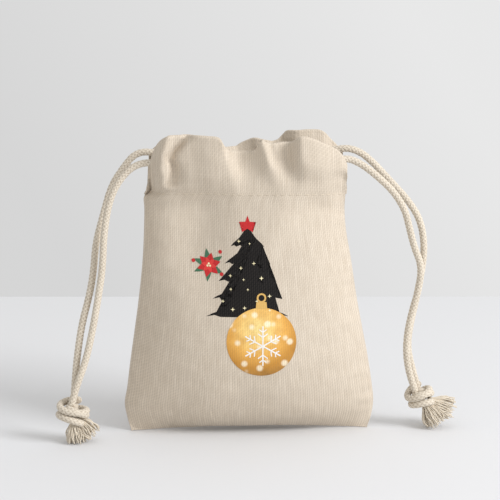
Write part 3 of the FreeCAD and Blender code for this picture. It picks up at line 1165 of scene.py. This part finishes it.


# Colours: light, dark and painted gap shade for cloth, light and painted groove shade for cord, and
# for ink the colour, how much painted gap shade shows and the colour of its light threads
CLOTHS = {
    "linen": ((0.712, 0.624, 0.512), (0.575, 0.490, 0.388), (0.34, 0.28, 0.215)),
    "thread": ((0.70, 0.62, 0.50), (0.58, 0.50, 0.39), (0.38, 0.31, 0.23)),
}
CORDS = {
    "cord": ((0.70, 0.625, 0.515), (0.43, 0.36, 0.275)),
    "yarn": ((0.74, 0.66, 0.54), (0.50, 0.42, 0.31)),
}
INKS = {
    "ink_black": ((0.010, 0.009, 0.009), 0.10),
    "ink_red": ((0.50, 0.018, 0.022), 0.14, (0.70, 0.06, 0.06)),
    "ink_bright_red": ((0.68, 0.035, 0.035), 0.14, (0.80, 0.12, 0.10)),
    "ink_green": ((0.035, 0.13, 0.07), 0.14, (0.16, 0.27, 0.17)),
    "ink_white": ((0.86, 0.84, 0.80), 0.10),
    "ink_cream": ((0.90, 0.80, 0.50), 0.10),
    "ink_cap": ((0.62, 0.36, 0.10), 0.12, (0.85, 0.60, 0.22)),
}


def make_materials():
    """Every material by name."""
    materials = {"ink_gold": gold_ink_material()}
    for kind, table in ((linen_material, CLOTHS), (cord_material, CORDS), (ink_material, INKS)):
        for name, values in table.items():
            materials[name] = kind(name, *values)
    return materials


# --- assembling the pouch ---


def follow_lip(piece):
    """Bakes a piece's placement into its mesh."""
    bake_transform(piece)


def half_columns(end):
    """The grid columns of the left (-1) or right (1) half."""
    return slice(0, HALF_COLUMNS + 1) if end < 0 else slice(HALF_COLUMNS, 2 * HALF_COLUMNS + 1)


ENDS = {"left": -1, "right": 1}


def make_cloth(material):
    """Both panels, each as two halves that meet at its middle."""
    for side in OUTWARD:
        for end_name, end in ENDS.items():
            piece = cloth_half(f"{side}_cloth_{end_name}", side, half_columns(end), material)
            follow_lip(piece)
            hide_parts(f"{side}_panel", f"{side}_casing")


STITCH_PITCH = 3.2
STITCH_LENGTH = 2.3
STITCH_RADIUS = 0.15
STITCH_SINK = 0.12
STITCH_ARCH = 0.17
STITCH_INSET = 2.0  # from the casing's end to the first stitch


def make_stitches(material):
    """The hem's stitches along both casings, each a short thread that dips into the cloth."""
    lift = STITCH_ARCH * np.sin(np.linspace(0, math.pi, 7)) ** 0.6 - STITCH_SINK
    for side in OUTWARD:
        line = GRIDS[side]["points"][BODY_ROWS]
        out = GRIDS[side]["normals"][BODY_ROWS]
        length = arc_length(line)
        middle = length[HALF_COLUMNS]
        halves = {
            "left": (STITCH_INSET, middle),
            "right": (middle + (STITCH_PITCH - STITCH_LENGTH) / 2, length[-1] - STITCH_INSET),
        }
        for end_name, (first, last) in halves.items():
            shapes = []
            for begin in np.arange(first, last - STITCH_LENGTH, STITCH_PITCH):
                along = np.linspace(begin, begin + STITCH_LENGTH, 7)
                stitch = places_on(line, length, along) + places_on(out, length, along) * lift[:, None]
                shapes.append(tube_shape(stitch, STITCH_RADIUS, 8))
            piece = relief_piece(f"{side}_stitches_{end_name}", join_shapes(shapes), material)
            follow_lip(piece)
            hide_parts(f"{side}_casing_stitching")


RUN_SHARES = {"left": 0.40, "right": 0.68}
RUN_RADIUS = 1.15
TURN_COLUMN = 7
RUN_DEPTH = 0.62  # share of the casing's own depth, from its outer cloth
TURN_DEPTH = 0.64


def make_cord_runs(material):
    """The cords inside the casings, each in two halves like the cloth around them."""
    for side in OUTWARD:
        for cord, share in RUN_SHARES.items():
            for end_name, end in ENDS.items():
                columns = half_columns(end)
                line = casing_line(side, share, RUN_DEPTH, columns)
                line = line[TURN_COLUMN:] if end < 0 else line[:-TURN_COLUMN]
                shape = braided_shape(line, RUN_RADIUS, 0.4, 20)
                piece = relief_piece(f"{cord}_cord_{side}_run_{end_name}", shape, material)
                follow_lip(piece)
                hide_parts(f"{cord}_cord_{side}_run")


def make_cord_turns(material):
    """Each cord's crossing from the front casing to the back one, tucked in at the far end."""
    near, far = TURN_COLUMN, 3 * TURN_COLUMN
    for cord, end in ENDS.items():
        share = RUN_SHARES[cord]
        front, back = [casing_line(side, share, TURN_DEPTH, slice(None))[::end] for side in OUTWARD]
        middle = (front[near] + back[near]) / 2
        corners = np.array([front[far], front[near], middle, back[near], back[far]])
        shape = braided_shape(smooth_line(corners), RUN_RADIUS)
        piece = relief_piece(f"{cord}_cord_turn_braid", shape, material)
        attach(piece, "pouch")
        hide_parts(f"{cord}_cord_turn")


# Frayed ends: direction, distance from the knot's middle, length, spread and seed
TASSELS = {
    "left_tassel_front": ((0.08, -0.1, -0.99), 3.0, 9.6, 3.8, 31),
    "left_tassel_back": ((0.60, 0.15, -0.78), 3.2, 9.6, 3.8, 32),
    "right_tassel_front": ((0.50, -0.1, -0.86), 3.2, 10.4, 4.6, 33),
    "right_tassel_back": ((0.90, 0.2, -0.42), 4.0, 11.4, 4.6, 34),
}


def make_fray(end_name, side, material):
    """One frayed end at its knot."""
    node = f"{end_name}_tassel_{side}"
    direction, gap, *values = TASSELS[node]
    start = sum(node_box(f"{end_name}_knot")) / 2 + np.array(direction) * gap
    tassel = make_tassel(f"{end_name}_{side}_fray", start, direction, *values, material)
    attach(tassel, f"{end_name}_tie")
    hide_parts(node)
    return tassel


def make_ties(materials):
    """The free strands with their knots and frayed ends."""
    for end_name, end in ENDS.items():
        knot = make_knot(end_name, materials["cord"])
        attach(knot, f"{end_name}_tie")
        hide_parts(f"{end_name}_knot")
        for side in OUTWARD:
            tassel = make_fray(end_name, side, materials["yarn"])
            name = f"{end_name}_strand_{side}"
            line = route_line(name, ROUTES[name])
            strand = relief_piece(f"{end_name}_{side}_braid", braided_shape(line), materials["cord"])
            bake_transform(strand)
            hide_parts(name, f"{end_name}_cord_{side}_stub")


def make_print(materials):
    """The printed motif, which bends with the front cloth."""
    for name, outlines, layer, ink in print_layers():
        piece = print_piece(f"print_{name}", outlines, layer, materials[f"ink_{ink}"])
        follow_lip(piece)
        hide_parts("printed_motif")


ALLOWANCE_WIDTH = 6.5
ALLOWANCE_THICKNESS = 1.0
ALLOWANCE_INSET = 1.6


def allowance(name, line, inward, material, node):
    """A narrow folded strip of cloth along a seam, inside the pouch."""
    width, thickness = ALLOWANCE_WIDTH, ALLOWANCE_THICKNESS
    out = np.array([0, thickness / 2, 0])
    inner = line + inward * width
    loop = np.stack([line - out, inner - out, inner + out, line + out])
    count = len(line)
    faces = []
    for k in range(4):
        base, after = k * count, (k + 1) % 4 * count
        faces += [(base + j, base + j + 1, after + j + 1, after + j) for j in range(count - 1)]
    faces.append([k * count for k in (3, 2, 1, 0)])
    faces.append([k * count + count - 1 for k in range(4)])
    along = np.tile(arc_length(line), 4)
    across = np.repeat([0.0, width, width + thickness, 2 * width], count)
    weave = {"weave": np.stack([across, along], axis=1)}
    piece = new_piece(name, loop.reshape(-1, 3), faces, material, weave, smooth=False)
    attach(piece, "pouch")
    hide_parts(node)


def make_allowances(material):
    """The sewn allowances inside the side and bottom seams."""
    heights = np.linspace(9.0, SEAM_TOP - 3.0, 40)
    for (end_name, end), table in zip(ENDS.items(), (LEFT_EDGE, RIGHT_EDGE)):
        x = smooth_through(heights, table) - end * ALLOWANCE_INSET
        line = np.stack([x, foot_turn(end, heights), heights], axis=1)
        inward = np.array([-end, 0, 0])
        allowance(f"{end_name}_allowance", line, inward, material, f"{end_name}_side_seam")
    seam = GRIDS["front"]["points"][0]
    inner = seam[10:-10:4] + [0, 0.3, 0.9]
    allowance("bottom_allowance", inner, np.array([0, 0, 1.0]), material, "bottom_seam")


def main():
    """The whole scene."""
    bpy.context.scene.view_settings.view_transform = "Standard"
    make_camera()
    make_stage()
    make_key_light()
    make_surround()
    materials = make_materials()
    make_ties(materials)
    make_allowances(materials["linen"])
    make_cloth(materials["linen"])
    make_stitches(materials["thread"])
    make_cord_runs(materials["cord"])
    make_cord_turns(materials["cord"])
    make_print(materials)


main()
